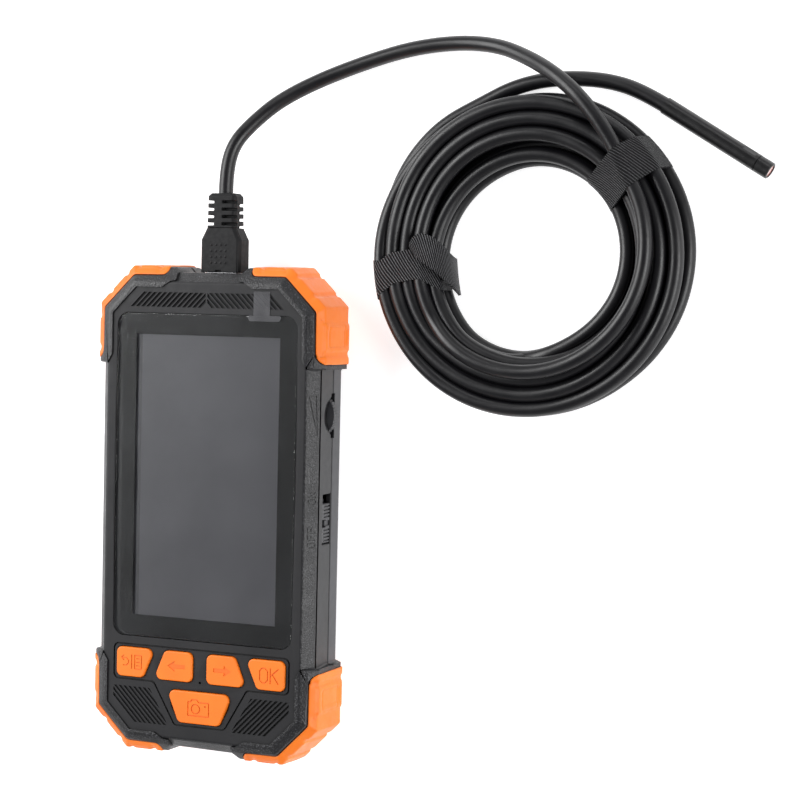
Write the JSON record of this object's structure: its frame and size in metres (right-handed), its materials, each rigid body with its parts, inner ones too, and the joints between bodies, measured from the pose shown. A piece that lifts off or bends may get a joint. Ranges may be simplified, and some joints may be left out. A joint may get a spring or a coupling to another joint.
{
  "type": "inspection camera",
  "caption": "Handheld inspection camera with a screen, orange corner guards and a coiled cable probe for looking inside pipes and cavities.",
  "frame": {"origin": "under the middle of the handset, on the surface it lies on", "axes": "+Z out of the screen, +Y along the handset towards the probe socket, +X towards the side with the thumbwheel and the power slider"},
  "size_m": [0.2265, 0.2414, 0.0283],
  "materials": {
    "shell_black": "fine spark texture, satin",
    "guard_orange": "matt soft touch",
    "key_orange": "matt silicone",
    "screen_glass": "gloss with anti-glare haze",
    "mask_ink": "black print behind glass",
    "foam_black": "adhesive foam",
    "display_grey": "dark grey polarizer",
    "lcd_dark": "display cell",
    "plated_steel": "nickel plated",
    "film_grey": "clear grey film",
    "board_green": "solder mask",
    "chip_black": "moulded",
    "contact_gold": "gold flash",
    "membrane_grey": "silicone",
    "battery_blue": "shrink sleeve",
    "screw_steel": "black zinc",
    "wheel_black": "knurled",
    "cable_black": "satin PVC jacket",
    "strap_black": "woven hook and loop",
    "head_black": "gloss black",
    "lens_window": "coated window",
    "led_white": "clear resin",
    "port_rubber": "matt"
  },
  "bodies": {
    "handset": {"front_cover": "shell_black", "rear_cover": "shell_black", "bumper_top_right": "guard_orange", "bumper_top_left": "guard_orange", "bumper_bottom_right": "guard_orange", "bumper_bottom_left": "guard_orange", "screen_glass": "screen_glass", "screen_mask": "mask_ink", "screen_gasket": "foam_black", "lcd_polarizer": "display_grey", "lcd_cell": "lcd_dark", "lcd_backlight": "membrane_grey", "lcd_carrier": "plated_steel", "film_tab": "film_grey", "main_board": "board_green", "board_chips": "chip_black", "key_contacts": "contact_gold", "keypad_membrane": "membrane_grey", "microphone": "plated_steel", "battery": "battery_blue", "board_screws": "screw_steel", "cover_screws": "screw_steel", "wheel_potentiometer": "chip_black", "switch_body": "plated_steel", "charge_port": "plated_steel", "card_slot": "plated_steel", "probe_socket": "plated_steel"},
    "button_menu": {"button_menu": "key_orange"},
    "button_left": {"button_left": "key_orange"},
    "button_right": {"button_right": "key_orange"},
    "button_ok": {"button_ok": "key_orange"},
    "button_camera": {"button_camera": "key_orange"},
    "brightness_wheel": {"brightness_wheel": "wheel_black"},
    "power_slider": {"power_slider": "wheel_black"},
    "port_cover": {"port_cover": "port_rubber"},
    "probe": {"plug_body": "cable_black", "strain_relief": "cable_black", "plug_shell": "plated_steel", "plug_tongue": "chip_black", "cable_lead": "cable_black", "cable_coil": "cable_black", "cable_tail": "cable_black", "strap_left": "strap_black", "strap_right": "strap_black", "head_sleeve": "head_black", "head_barrel": "plated_steel", "head_window": "lens_window", "led_ring": "board_green", "head_leds": "led_white", "camera_module": "chip_black", "head_board": "board_green"}
  },
  "joints": [
    {"name": "button_menu_press", "type": "slide", "parent": "handset", "child": "button_menu", "axis": [0, 0, -1], "range_m": [0, 0.0006], "stiffness_N_per_m": 400},
    {"name": "button_left_press", "type": "slide", "parent": "handset", "child": "button_left", "axis": [0, 0, -1], "range_m": [0, 0.0006], "stiffness_N_per_m": 400},
    {"name": "button_right_press", "type": "slide", "parent": "handset", "child": "button_right", "axis": [0, 0, -1], "range_m": [0, 0.0006], "stiffness_N_per_m": 400},
    {"name": "button_ok_press", "type": "slide", "parent": "handset", "child": "button_ok", "axis": [0, 0, -1], "range_m": [0, 0.0006], "stiffness_N_per_m": 400},
    {"name": "button_camera_press", "type": "slide", "parent": "handset", "child": "button_camera", "axis": [0, 0, -1], "range_m": [0, 0.0006], "stiffness_N_per_m": 400},
    {"name": "brightness_wheel_turn", "type": "hinge", "parent": "handset", "child": "brightness_wheel", "pos_m": [0.0338, 0.0337, 0.0135], "axis": [0, 0, 1], "range_deg": [0, 270]},
    {"name": "power_slider_slide", "type": "slide", "parent": "handset", "child": "power_slider", "axis": [0, 1, 0], "range_m": [0, 0.0028]},
    {"name": "port_cover_hinge", "type": "hinge", "parent": "handset", "child": "port_cover", "pos_m": [-0.0398, 0.0069, 0.0164], "axis": [0, 0, 1], "range_deg": [0, 95]},
    {"name": "probe_unplug", "type": "slide", "parent": "handset", "child": "probe", "axis": [0, 1, 0], "range_m": [0, 0.02]}
  ]
}
